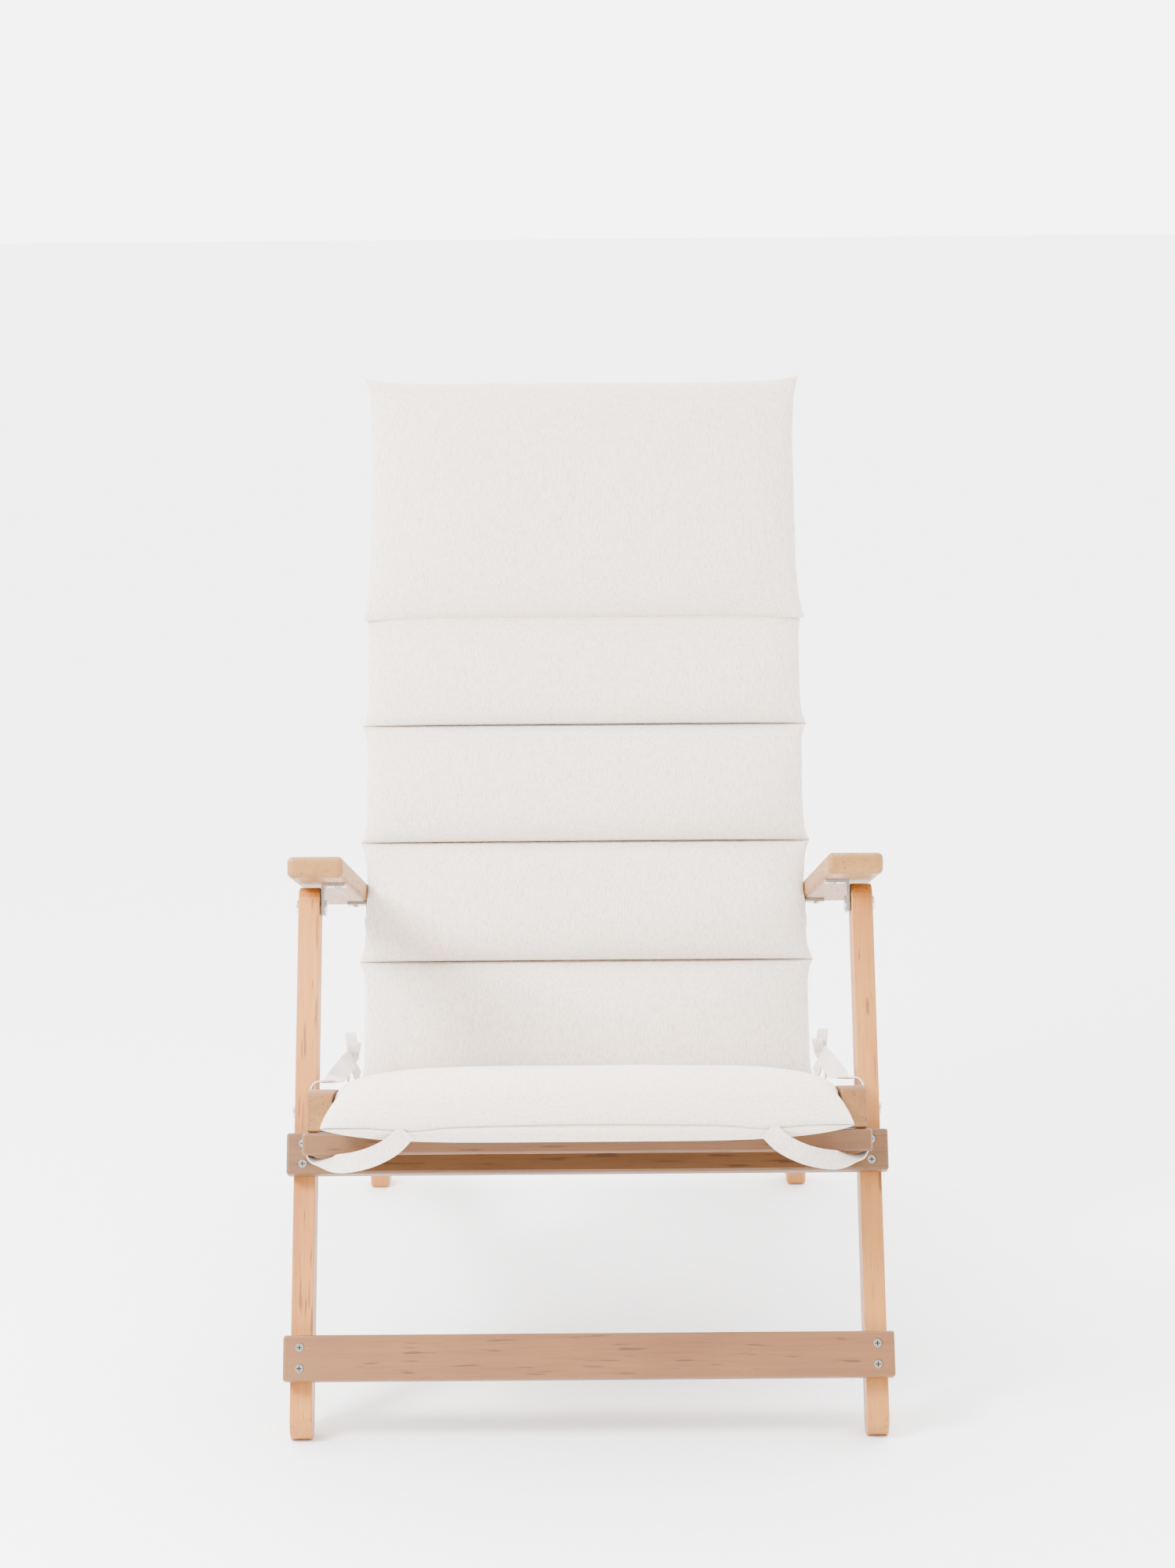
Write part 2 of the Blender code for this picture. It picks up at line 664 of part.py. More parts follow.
def pivots():
    """Bolts and washers at the four pivots on each side."""
    front_inner = PLATE_OUTER - PLATE
    rear_outer = REAR_PLATE_INNER + PLATE
    for label, side in SIDES:
        bolt("leg_bolt_" + label, side, LEG_OUTER, RAIL_INNER, HEAD_HEIGHT, LEG)
        washer("leg_washer_" + label, side, RAIL_OUTER, LEG_INNER, LEG)
        bolt("armrest_front_bolt_" + label, side, LEG_OUTER, front_inner, HEAD_HEIGHT, LEG, up=ARM_RISE)
        bolt("stile_bolt_" + label, side, RAIL_OUTER, STILE_INNER, CAP_HEIGHT, BACK)
        washer("stile_washer_" + label, side, STILE_OUTER, RAIL_INNER, BACK)
        bolt("armrest_rear_bolt_" + label, side, rear_outer, STILE_INNER, CAP_HEIGHT, BACK, up=ARM_RISE)


def cushions():
    """Seat pad between the rails, back pad and head pillow in front of the slats."""
    floor = -RAIL_DEPTH / 2 + SEAT_SLAT_RISE + SLAT_THICK + GAP
    front = -RAIL_FRONT - SEAT_PAD_AHEAD
    box("seat_cushion", (-SEAT_PAD_HALF, front, floor), (SEAT_PAD_HALF, SEAT_PAD_END, floor + SEAT_PAD_THICK),
        RAIL, FABRIC_FINISH, PAD_EDGE, 3)
    face = -STILE_DEPTH / 2 - GAP
    box("back_cushion", (-BACK_PAD_HALF, face - BACK_PAD_THICK, BACK_PAD_START),
        (BACK_PAD_HALF, face, BACK_PAD_END), BACK, FABRIC_FINISH, PAD_EDGE, 3)
    box("head_pillow", (-BACK_PAD_HALF, face - PILLOW_THICK, BACK_PAD_END + 2 * GAP),
        (BACK_PAD_HALF, face, PILLOW_END), BACK, FABRIC_FINISH, PAD_EDGE, 3)


def straps():
    """Flat tapes up the outside of each rail's front end and back along its top."""
    top = RAIL_DEPTH / 2 + GAP
    over = top + STRAP_THICK
    under = -RAIL_DEPTH / 2 - FRONT_SLAT_THICK - 3 * GAP
    start = -RAIL_FRONT + FRONT_SLAT_DEPTH + GAP
    end = start + STRAP_WIDTH
    for label, side in SIDES:
        name = "strap_" + label
        low, high = span(side, RAIL_OUTER + GAP, RAIL_OUTER + GAP + STRAP_THICK)
        tape = add_piece(name, cube_mesh(name, (low, start, under), (high, end, over)), RAIL, FABRIC_FINISH)
        low, high = span(side, RAIL_INNER, RAIL_OUTER + GAP + STRAP_THICK)
        join(tape, cutter(name + "_fold", cube_mesh(name, (low, start, top), (high, end, over)), RAIL))
        low, high = span(side, RAIL_INNER, RAIL_INNER + STRAP_WIDTH)
        join(tape, cutter(name + "_run", cube_mesh(name, (low, start, top), (high, STRAP_REAR, over)), RAIL))


def centre_on_origin():
    """Slide the chair so that the origin lies under the middle of its depth."""
    bpy.context.view_layer.update()
    graph = bpy.context.evaluated_depsgraph_get()
    depths = []
    for piece in CHAIR.objects:
        if piece.type == "MESH":
            shape = piece.evaluated_get(graph)
            depths += [(shape.matrix_world @ point.co).y for point in shape.data.vertices]
    ROOT.location.y = -(min(depths) + max(depths)) / 2
    bpy.context.view_layer.update()


front_legs()
crossbars()
seat_rails()
seat_slats()
front_slat()
rear_legs()
rear_leg_screws()
back_stiles()
back_slats()
armrests()
for side_label, side_sign in SIDES:
    bracket_set(side_label, side_sign)
pivots()
cushions()
straps()
centre_on_origin()
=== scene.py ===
"""Looks of the folding deck chair: oiled wood, steel, a quilted cushion and its tied straps."""
import json
from math import cos, exp, pi, radians, sin

import bmesh
import bpy
from mathutils import Matrix, Vector, noise


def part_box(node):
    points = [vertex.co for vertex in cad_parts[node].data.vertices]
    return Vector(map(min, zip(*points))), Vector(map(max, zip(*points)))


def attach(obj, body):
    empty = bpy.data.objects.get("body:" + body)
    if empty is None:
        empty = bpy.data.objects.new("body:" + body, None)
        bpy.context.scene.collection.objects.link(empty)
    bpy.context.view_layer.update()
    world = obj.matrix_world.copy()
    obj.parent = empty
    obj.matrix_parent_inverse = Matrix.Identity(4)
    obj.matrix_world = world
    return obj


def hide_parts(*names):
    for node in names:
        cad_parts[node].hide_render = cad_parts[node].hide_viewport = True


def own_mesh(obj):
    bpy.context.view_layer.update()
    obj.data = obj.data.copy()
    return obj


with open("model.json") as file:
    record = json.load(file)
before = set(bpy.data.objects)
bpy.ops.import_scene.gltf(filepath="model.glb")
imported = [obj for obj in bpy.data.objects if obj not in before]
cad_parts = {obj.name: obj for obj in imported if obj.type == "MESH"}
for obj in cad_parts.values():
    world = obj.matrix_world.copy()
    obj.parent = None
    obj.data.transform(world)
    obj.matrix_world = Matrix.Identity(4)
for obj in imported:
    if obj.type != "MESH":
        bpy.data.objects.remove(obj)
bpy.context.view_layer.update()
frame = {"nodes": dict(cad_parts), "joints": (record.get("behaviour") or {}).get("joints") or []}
JOINTS = {joint["name"]: Vector(joint["pos_m"]) for joint in frame["joints"]}
LEG_PIVOT = JOINTS["leg_fold"]
BACK_PIVOT = JOINTS["back_fold"]
ARM_PIVOT = JOINTS["armrest_left_fold"]

# Angles of the open frame, read from the pivots
RAIL_RUN = BACK_PIVOT - LEG_PIVOT
ARM_RUN = ARM_PIVOT - LEG_PIVOT
RAIL_BACK = RAIL_RUN.normalized()
RAIL_UP = Vector((0.0, -RAIL_BACK.z, RAIL_BACK.y))
LEAN_UP = ARM_RUN.normalized()
LEAN_FRONT = Vector((0.0, -LEAN_UP.z, LEAN_UP.y))
RAIL_ANGLE = -RAIL_BACK.angle(Vector((0, 1, 0)))
LEAN_ANGLE = -LEAN_UP.angle(Vector((0, 0, 1)))

MM = 0.001
SIDES = (("left", -1), ("right", 1))


def on_rail(x, back, up):
    """Point in the seat rail's frame, in millimetres from the leg pivot."""
    return LEG_PIVOT + Vector((x * MM, 0, 0)) + RAIL_BACK * back * MM + RAIL_UP * up * MM


def on_back(x, front, up):
    """Point in the back's frame, in millimetres from the stile pivot."""
    return BACK_PIVOT + Vector((x * MM, 0, 0)) + LEAN_FRONT * front * MM + LEAN_UP * up * MM


# ---------------------------------------------------------------- materials

def new_material(name):
    """Empty node material with a Principled shader."""
    made = bpy.data.materials.new(name)
    made.use_nodes = True
    return made, made.node_tree.nodes, made.node_tree.links


def scaled_coords(nodes, links, scale, turn=0.0, offset=(0, 0, 0)):
    """Object coordinates turned about X and scaled on each axis."""
    source = nodes.new("ShaderNodeTexCoord")
    turned = nodes.new("ShaderNodeMapping")
    turned.vector_type = "POINT"
    turned.inputs["Rotation"].default_value = (-turn, 0.0, 0.0)
    links.new(source.outputs["Object"], turned.inputs["Vector"])
    sized = nodes.new("ShaderNodeMapping")
    sized.inputs["Location"].default_value = offset
    sized.inputs["Scale"].default_value = scale
    links.new(turned.outputs["Vector"], sized.inputs["Vector"])
    return sized.outputs["Vector"]


def noise_node(nodes, links, vector, scale, detail=4.0, rough=0.55):
    """Noise texture on given coordinates."""
    made = nodes.new("ShaderNodeTexNoise")
    made.inputs["Scale"].default_value = scale
    made.inputs["Detail"].default_value = detail
    made.inputs["Roughness"].default_value = rough
    links.new(vector, made.inputs["Vector"])
    return made.outputs["Fac"]


def ramp(nodes, links, factor, stops):
    """Colour ramp from a list of (position, colour)."""
    made = nodes.new("ShaderNodeValToRGB")
    band = made.color_ramp
    band.elements[0].position, band.elements[0].color = stops[0][0], (*stops[0][1], 1)
    band.elements[1].position, band.elements[1].color = stops[-1][0], (*stops[-1][1], 1)
    for position, colour in stops[1:-1]:
        extra = band.elements.new(position)
        extra.color = (*colour, 1)
    links.new(factor, made.inputs["Fac"])
    return made.outputs["Color"]


def mix(nodes, links, factor, first, second, blend="MIX"):
    """Mix two colours; factor is a socket or a number."""
    made = nodes.new("ShaderNodeMix")
    made.data_type = "RGBA"
    made.blend_type = blend
    if isinstance(factor, (int, float)):
        made.inputs[0].default_value = factor
    else:
        links.new(factor, made.inputs[0])
    for slot, value in ((6, first), (7, second)):
        if isinstance(value, tuple):
            made.inputs[slot].default_value = value
        else:
            links.new(value, made.inputs[slot])
    return made.outputs[2]


def bump(nodes, links, height, strength, distance, normal=None):
    """Bump from a height socket."""
    made = nodes.new("ShaderNodeBump")
    made.inputs["Strength"].default_value = strength
    made.inputs["Distance"].default_value = distance
    links.new(height, made.inputs["Height"])
    if normal is not None:
        links.new(normal, made.inputs["Normal"])
    return made.outputs["Normal"]


# Which object axis the grain runs along: scales across and along it
GRAIN_SCALES = {"X": (1.6, 34.0, 34.0), "Y": (34.0, 1.6, 34.0), "Z": (34.0, 34.0, 1.6)}


def wood(name, grain, turn, seed, tint):
    """Oiled pale hardwood: broad figure, fine fibres and short dark pores along the grain."""
    made, nodes, links = new_material(name)
    shader = nodes["Principled BSDF"]
    offset = (seed * 3.17, seed * 1.73, seed * 2.41)
    along = scaled_coords(nodes, links, GRAIN_SCALES[grain], turn, offset)
    figure = noise_node(nodes, links, along, 1.0, 5.0, 0.6)
    fibre = noise_node(nodes, links, along, 11.0, 3.0, 0.7)
    blotch = noise_node(nodes, links, scaled_coords(nodes, links, (9, 9, 9), turn, offset), 1.0, 2.0)
    # tint scales all three wood colours; for the seat rails, slats, seat front and crossbars it is
    # painted shade under the cushion
    light = tuple(channel * shade for channel, shade in zip((0.50, 0.205, 0.036), tint))
    middle = tuple(channel * shade for channel, shade in zip((0.43, 0.165, 0.026), tint))
    dark = tuple(channel * shade for channel, shade in zip((0.34, 0.115, 0.017), tint))
    body = ramp(nodes, links, figure, [(0.28, dark), (0.44, middle), (0.66, light)])
    streak = ramp(nodes, links, fibre, [(0.34, (0.80, 0.72, 0.64)), (0.52, (1.0, 1.0, 1.0))])
    colour = mix(nodes, links, 0.55, body, streak, "MULTIPLY")
    patches = ramp(nodes, links, blotch, [(0.35, (0.90, 0.86, 0.82)), (0.65, (1.05, 1.04, 1.02))])
    colour = mix(nodes, links, 0.8, colour, patches, "MULTIPLY")
    pore_scale = tuple(value * (6 if value > 10 else 9) for value in GRAIN_SCALES[grain])
    pores = noise_node(nodes, links, scaled_coords(nodes, links, pore_scale, turn, offset), 1.6, 1.0, 0.4)
    pore_mask = ramp(nodes, links, pores, [(0.27, (0.35, 0.25, 0.18)), (0.34, (1, 1, 1))])
    colour = mix(nodes, links, 0.75, colour, pore_mask, "MULTIPLY")
    links.new(colour, shader.inputs["Base Color"])
    gloss = ramp(nodes, links, fibre, [(0.3, (0.60, 0.60, 0.60)), (0.7, (0.42, 0.42, 0.42))])
    links.new(gloss, shader.inputs["Roughness"])
    links.new(bump(nodes, links, fibre, 0.25, 0.0004), shader.inputs["Normal"])
    shader.inputs["Coat Weight"].default_value = 0.12
    shader.inputs["Coat Roughness"].default_value = 0.35
    return made


def steel(name, colour, low, high, scratch=260.0):
    """Stainless steel with fine marks in its roughness."""
    made, nodes, links = new_material(name)
    shader = nodes["Principled BSDF"]
    shader.inputs["Metallic"].default_value = 1.0
    coords = scaled_coords(nodes, links, (scratch * 6, scratch, scratch))
    marks = noise_node(nodes, links, coords, 1.0, 3.0)
    tone = tuple(channel * 0.72 for channel in colour)
    links.new(ramp(nodes, links, marks, [(0.3, tone), (0.6, colour)]), shader.inputs["Base Color"])
    rough = ramp(nodes, links, marks, [(0.3, (high,) * 3), (0.7, (low,) * 3)])
    links.new(rough, shader.inputs["Roughness"])
    links.new(bump(nodes, links, marks, 0.15, 0.0001), shader.inputs["Normal"])
    return made


def woven(name, turn, tone=1.0):
    """Melange outdoor fabric: warp and weft threads, long pale and grey yarn streaks, a few slubs."""
    made, nodes, links = new_material(name)
    shader = nodes["Principled BSDF"]
    shader.inputs["Roughness"].default_value = 0.92
    shader.inputs["Sheen Weight"].default_value = 0.25
    shader.inputs["Sheen Roughness"].default_value = 0.5
    shader.inputs["Specular IOR Level"].default_value = 0.2
    warp = noise_node(nodes, links, scaled_coords(nodes, links, (1900, 500, 120), turn), 1.0, 2.0)
    weft = noise_node(nodes, links, scaled_coords(nodes, links, (110, 900, 1500), turn), 1.0, 2.0)
    grainy = noise_node(nodes, links, scaled_coords(nodes, links, (900, 900, 900), turn), 1.0, 2.0)
    slub = noise_node(nodes, links, scaled_coords(nodes, links, (420, 200, 130), turn), 1.0, 1.0)
    pale = (0.84 * tone, 0.745 * tone, 0.66 * tone)
    grey = (0.56 * tone, 0.48 * tone, 0.415 * tone)
    base = ramp(nodes, links, warp, [(0.30, grey), (0.56, pale)])
    cross = ramp(nodes, links, weft, [(0.28, (0.84, 0.83, 0.82)), (0.55, (1, 1, 1))])
    colour = mix(nodes, links, 0.6, base, cross, "MULTIPLY")
    fleck = ramp(nodes, links, slub, [(0.20, (0.55, 0.54, 0.54)), (0.25, (1, 1, 1))])
    colour = mix(nodes, links, 0.7, colour, fleck, "MULTIPLY")
    links.new(colour, shader.inputs["Base Color"])
    coords = scaled_coords(nodes, links, (1.0, 1.0, 1.0), turn)
    threads = nodes.new("ShaderNodeTexWave")
    threads.wave_type = "BANDS"
    threads.bands_direction = "X"
    threads.inputs["Scale"].default_value = 420.0
    threads.inputs["Distortion"].default_value = 1.2
    links.new(coords, threads.inputs["Vector"])
    normal = bump(nodes, links, threads.outputs["Fac"], 0.25, 0.0003)
    normal = bump(nodes, links, grainy, 0.45, 0.0005, normal)
    links.new(normal, shader.inputs["Normal"])
    return made


def plain(name, colour, roughness):
    """Matt material with a faint mottle, for thread and the studio floor."""
    made, nodes, links = new_material(name)
    shader = nodes["Principled BSDF"]
    shader.inputs["Roughness"].default_value = roughness
    speck = noise_node(nodes, links, scaled_coords(nodes, links, (60, 60, 60)), 1.0)
    darker = tuple(channel * 0.97 for channel in colour)
    links.new(ramp(nodes, links, speck, [(0.3, darker), (0.7, colour)]), shader.inputs["Base Color"])
    return made


FABRIC_BACK = woven("fabric_back", LEAN_ANGLE)
FABRIC_SEAT = woven("fabric_seat", RAIL_ANGLE + pi / 2)
FABRIC_STRAP = woven("fabric_strap", 0.0, 0.93)
THREAD = plain("thread", (0.93, 0.91, 0.88), 0.6)
POLISHED = steel("polished_steel", (0.80, 0.79, 0.77), 0.10, 0.22)
SATIN = steel("satin_steel", (0.46, 0.44, 0.41), 0.28, 0.45)
SCREW_STEEL = steel("screw_steel", (0.40, 0.38, 0.35), 0.22, 0.42)
# near-black steel for the screws' cross recesses: painted shade in the hollows
PAINTED_SHADE_RECESS = steel("recess_painted_shade", (0.06, 0.055, 0.05), 0.45, 0.60)


def wood_for(name, seed):
    """Grain direction, turn and tint of a wooden node; the darker tints of the seat rails, slats, seat
    front and crossbars are painted shade under the cushion.
    """
    shade = 0.92 + 0.16 * ((seed * 37) % 11) / 10
    tint = (shade, shade * 0.985, shade * 0.96)
    if "armrest" in name:
        return wood(name, "Y", RAIL_ANGLE, seed, (0.68, 0.80, 1.0))
    # seat rails: darkened as painted shade under the cushion
    if name.startswith("seat_rail"):
        return wood(name, "Y", RAIL_ANGLE, seed, (0.48, 0.52, 0.7))
    if name.startswith(("leg_front", "back_stile")):
        return wood(name, "Z", LEAN_ANGLE, seed, tint)
    if name.startswith("rear_leg"):
        return wood(name, "Z", 0.0, seed, tint)
    # slats and seat front: darkened strongly, as painted shade under the cushion
    if name.startswith(("seat_slat", "seat_front")):
        return wood(name, "X", RAIL_ANGLE, seed, (0.32, 0.34, 0.60))
    # lower crossbar: darkened as painted shade under the seat
    if name == "crossbar_lower":
        return wood(name, "X", LEAN_ANGLE, seed, (0.42, 0.42, 0.70))
    # remaining wooden nodes, the upper crossbar among them: darkened most, as painted shade under the
    # seat
    return wood(name, "X", LEAN_ANGLE, seed, (0.30, 0.32, 0.46))


def dress_frame():
    """Give every CAD node its wood or steel."""
    for seed, (name, node) in enumerate(sorted(frame["nodes"].items())):
        if "bolt" in name:
            chosen = POLISHED
        elif "screw" in name:
            chosen = SCREW_STEEL
        elif "bracket" in name or "washer" in name:
            chosen = SATIN
        elif any(word in name for word in ("cushion", "pillow", "strap")):
            chosen = FABRIC_BACK
        else:
            chosen = wood_for(name, seed + 1)
        for index in range(len(node.material_slots)):
            node.material_slots[index].material = chosen
        for face in node.data.polygons:
            face.use_smooth = True
        node.data.set_sharp_from_angle(angle=radians(40))


# ---------------------------------------------------------------- cushion

def link_mesh(name, work, materials):
    """Turn a bmesh into a smooth piece."""
    mesh = bpy.data.meshes.new(name)
    bmesh.ops.recalc_face_normals(work, faces=work.faces)
    work.to_mesh(mesh)
    work.free()
    mesh.shade_smooth()
    piece = bpy.data.objects.new(name, mesh)
    bpy.context.scene.collection.objects.link(piece)
    for made in materials:
        mesh.materials.append(made)
    return piece


def crown(side, power=5.0):
    """How full a pad is across its width: 1 in the middle, 0 at the side seam."""
    return max(0.0, 1.0 - abs(side) ** power) ** 0.5


def smooth_path(points, share):
    """Point at a share of a smooth curve through points."""
    spans = len(points) - 1
    place = min(share * spans, spans - 1e-6)
    index = int(place)
    step = place - index
    ends = [points[min(max(index + shift, 0), spans)] for shift in (-1, 0, 1, 2)]
    before, start, end, after = (Vector(end) for end in ends)
    return 0.5 * (2 * start + (end - before) * step
                  + (2 * before - 5 * start + 4 * end - after) * step ** 2
                  + (3 * start - before - 3 * end + after) * step ** 3)


def ripple(x, along, scale, seed):
    """Smooth noise between -1 and 1 on a pad's face."""
    return noise.noise(Vector((x / scale[0], along / scale[1], seed)))


def seam_rows(stations, count):
    """Shares of a pad's length, packed close together at each station."""
    low, span = stations[0], stations[-1] - stations[0]
    shares = [0.0]
    for start, end in zip(stations, stations[1:]):
        for step in range(1, count + 1):
            part = (1 - cos(pi * step / count)) / 2
            shares.append((start + (end - start) * part - low) / span)
    return shares


# A pad's mesh and its stitches (millimetres)
PAD_COLUMNS = 150
PANEL_ROWS = 44
PILLOW_ROWS = 110
SEAT_ROWS = 220
STITCH_PITCH = 3.5
STITCH_HALVES = (1.25, 0.55, 0.5)
STITCHED_SHARE = 0.985
PAD_SHARP_ANGLE = radians(70)


def build_pad(name, place, face, half, shares, materials, seams=()):
    """Closed pad: two faces that meet at the side seams, with a line of stitches along each seam.

    face(share, side) gives the front and back points (a, b) of a section, half(share, side) the
    half-width, and place(x, a, b) the point in the room. shares are the sections' places.
    """
    work = bmesh.new()
    grid = {}
    rows = len(shares) - 1
    for row, share in enumerate(shares):
        for column in range(PAD_COLUMNS + 1):
            side = sin((column / PAD_COLUMNS * 2 - 1) * pi / 2)
            x = half(share, side) * side
            front, back = face(share, side, x)
            closed = column in (0, PAD_COLUMNS) or row in (0, rows)
            first = work.verts.new(place(x, *front))
            grid[row, column] = (first, first if closed else work.verts.new(place(x, *back)))
    for row in range(rows):
        for column in range(PAD_COLUMNS):
            corners = [grid[row, column], grid[row, column + 1], grid[row + 1, column + 1],
                       grid[row + 1, column]]
            for layer in (0, 1):
                loop = [corner[layer] for corner in corners]
                work.faces.new(loop if layer == 0 else loop[::-1])
    for share in seams:
        stitch_row(work, place, face, half, share)
    piece = link_mesh(name, work, materials)
    piece.data.set_sharp_from_angle(angle=PAD_SHARP_ANGLE)
    return piece


def stitch_row(work, place, face, half, share):
    """Small raised stitches along one seam, as the second material."""
    reach = half(share, 1.0)
    count = int(2 * reach * STITCHED_SHARE / STITCH_PITCH)
    for index in range(count):
        x = (index - (count - 1) / 2) * STITCH_PITCH
        side = x / reach
        front, _ = face(share, side, x)
        middle = place(x, *front)
        made = bmesh.ops.create_icosphere(work, subdivisions=1, radius=1.0)
        size = [half_size * MM for half_size in STITCH_HALVES]
        shape = Matrix.Translation(middle) @ Matrix.Diagonal((*size, 1.0))
        bmesh.ops.transform(work, verts=made["verts"], matrix=shape)
        faces = {face_made for vert in made["verts"] for face_made in vert.link_faces}
        for face_made in faces:
            face_made.material_index = 1


# Back cushion, in the back's frame (millimetres)
BACK_SEAMS = (20.0, 161.0, 298.7, 436.5, 572.0)
SEAM_DEPTH = 37.0
PANEL_DEPTH = 69.0
SLAT_FACE = 20.6
SIDE_SEAM = 38.0
OVERHANG = 3.6
PAD_HALF = 247.0
SEAM_FLARE = 6.5
STITCHES_BELOW_SEAM = 5.2
STITCHES_BELOW_TOP = 17.0
ARM_DENT = 1.6
ARM_DENT_UP = 242
ARM_DENT_SPREAD = 22.0


def panel_of(up):
    """Which panel a height is in, and the share of the way up it."""
    for low, high in zip(BACK_SEAMS, BACK_SEAMS[1:]):
        if up <= high:
            return low, high, min(max((up - low) / (high - low), 0.0), 1.0)
    return BACK_SEAMS[-2], BACK_SEAMS[-1], 1.0


def puff(share):
    """Profile of a filled panel that hangs over its lower seam and thins towards its upper one."""
    return (1.0 - abs(2 * share ** 0.68 - 1) ** 2.2) ** 0.5


def back_half(share, side):
    """Half-width of the back cushion: it flares at each seam and is dented by the armrests."""
    up = BACK_SEAMS[0] + share * (BACK_SEAMS[-1] - BACK_SEAMS[0])
    near = min(abs(up - seam) for seam in BACK_SEAMS)
    flare = SEAM_FLARE * exp(-(near / 11.0) ** 1.2)
    wave = 0.8 * ripple(0.0, up + 500 * (side > 0), (1.0, 35.0), 3.0)
    dent = ARM_DENT * exp(-((up - ARM_DENT_UP) / ARM_DENT_SPREAD) ** 2)
    return PAD_HALF + flare + wave - dent


def back_face(share, side, x):
    """Front and back points of the back cushion."""
    up = BACK_SEAMS[0] + share * (BACK_SEAMS[-1] - BACK_SEAMS[0])
    low, high, part = panel_of(up)
    near = min(up - low, high - up)
    fullness = puff(part)
    pucker = 1.3 * exp(-near / 16.0) * (1 - exp(-near / 2.0)) * ripple(x, up, (11.0, 45.0), low)
    soft = 1.4 * fullness * ripple(x, up, (95.0, 60.0), 7.0 + low)
    depth = SEAM_DEPTH + (PANEL_DEPTH - SEAM_DEPTH) * fullness + pucker + soft
    edge = crown(side)
    front = SIDE_SEAM + (depth - SIDE_SEAM) * edge
    hang = OVERHANG * edge * (1 - part) ** 4 * min(1.0, (up - low) / 1.5)
    pinch = 5.0 * exp(-near / 8.0)
    rear = SIDE_SEAM - (SIDE_SEAM - SLAT_FACE - pinch) * edge
    return (front, up - hang), (rear, up)


# Head pillow
PILLOW_LOW = 561.0
PILLOW_TOP = 853.0
PILLOW_DEPTH = 84.0
PILLOW_SEAM = 47.0
PILLOW_HALF = 245.5
PILLOW_CORNER = 7.5
PILLOW_SWELL = 1.5
PILLOW_RISE = 8.0


def pillow_half(share, side):
    """Half-width of the pillow: pulled in between its pointed corners."""
    end = abs(2 * share - 1)
    wave = 0.9 * ripple(0.0, share * 280 + 500 * (side > 0), (1.0, 45.0), 9.0)
    return PILLOW_HALF + PILLOW_CORNER * end ** 7 + PILLOW_SWELL * end ** 2 + wave


def pillow_face(share, side, x):
    """Front and back points of the pillow."""
    corner = abs(side) ** 9
    up = PILLOW_LOW + share * (PILLOW_TOP - PILLOW_LOW + PILLOW_RISE * corner)
    up += share * 1.2 * ripple(x, 0.0, (42.0, 1.0), 5.0)
    ends = (1.0 - abs(2 * share ** 0.9 - 1) ** 3.0) ** 0.55
    soft = 1.8 * ripple(x, up, (110.0, 90.0), 13.0)
    tuck = 1.6 * exp(-(1 - abs(side)) * 14) * ripple(x, up, (40.0, 16.0), 15.0)
    full = crown(side, 4.0) * ends
    front = PILLOW_SEAM + (PILLOW_DEPTH - PILLOW_SEAM + soft) * full + tuck * ends
    rear = PILLOW_SEAM - (PILLOW_SEAM - SLAT_FACE) * min(1.0, full * 1.3)
    return (front, up), (rear, up)


# Seat cushion, in the rail's frame: its top and underside from the back crease to the front seam
SEAT_TOP = [(236, 14), (232, 27), (214, 37), (180, 40), (158, 36), (136, 40), (88, 42.5), (42, 41),
            (20, 37), (-4, 41), (-50, 43), (-98, 41.5), (-117, 40), (-134, 39), (-157, 31), (-175, 17),
            (-185, 1), (-188, -9), (-187, -15), (-183, -17)]
SEAT_UNDER = [(236, 14), (231, 3), (214, -3), (160, -4), (88, -4.2), (0, -4.2), (-60, -4.2),
              (-112, -4.5), (-134, -7), (-146, -12), (-152.5, -19), (-156, -26), (-163, -31),
              (-173, -31.5), (-181, -27), (-185, -21), (-183, -17)]
SEAT_STITCHES = (158, 20)
SEAT_HALF = 247.3
SEAT_FLARE = 10.5
SEAT_FLARE_START = 138
SEAT_FLARE_LENGTH = 48.0
SEAT_FRONT_SHARE = 0.8
STRAP_SEAM_X = 172


def seat_half(share, side):
    """Half-width of the seat cushion: between the rails, then wider in front of them."""
    back = smooth_path(SEAT_TOP, share)[0]
    ahead = min(max((-back - SEAT_FLARE_START) / SEAT_FLARE_LENGTH, 0.0), 1.0)
    wave = 0.7 * ripple(0.0, back + 300 * side, (1.0, 40.0), 21.0)
    return SEAT_HALF + SEAT_FLARE * ahead ** 1.4 + wave


def seat_face(share, side, x):
    """Top and underside points of the seat cushion."""
    top = smooth_path(SEAT_TOP, share)
    under = smooth_path(SEAT_UNDER, share)
    middle = (top + under) / 2
    edge = crown(side, 5.0)
    front_edge = max(0.0, share - SEAT_FRONT_SHARE) / 0.2
    pulled = -4.5 * exp(-((abs(x) - STRAP_SEAM_X) / 26.0) ** 2) * front_edge ** 2
    raised = 2.5 * exp(-(x / 110.0) ** 2) * front_edge ** 2
    lift = Vector((0.0, pulled + raised))
    soft = 1.6 * ripple(x, top[0], (90.0, 70.0), 31.0) * edge * (1 - front_edge)
    pucker = 1.2 * ripple(x, top[0], (16.0, 60.0), 33.0) * front_edge * (1 - front_edge) * 3
    upper = middle + (top - middle) * edge + lift + Vector((0.0, soft + pucker))
    lower = middle + (under - middle) * edge + lift
    return tuple(upper), tuple(lower)


def seat_seam_share(back):
    """Share of the top curve at a given place along the rail."""
    steps = [index / 400 for index in range(401)]
    return min(steps, key=lambda share: abs(smooth_path(SEAT_TOP, share)[0] - back))


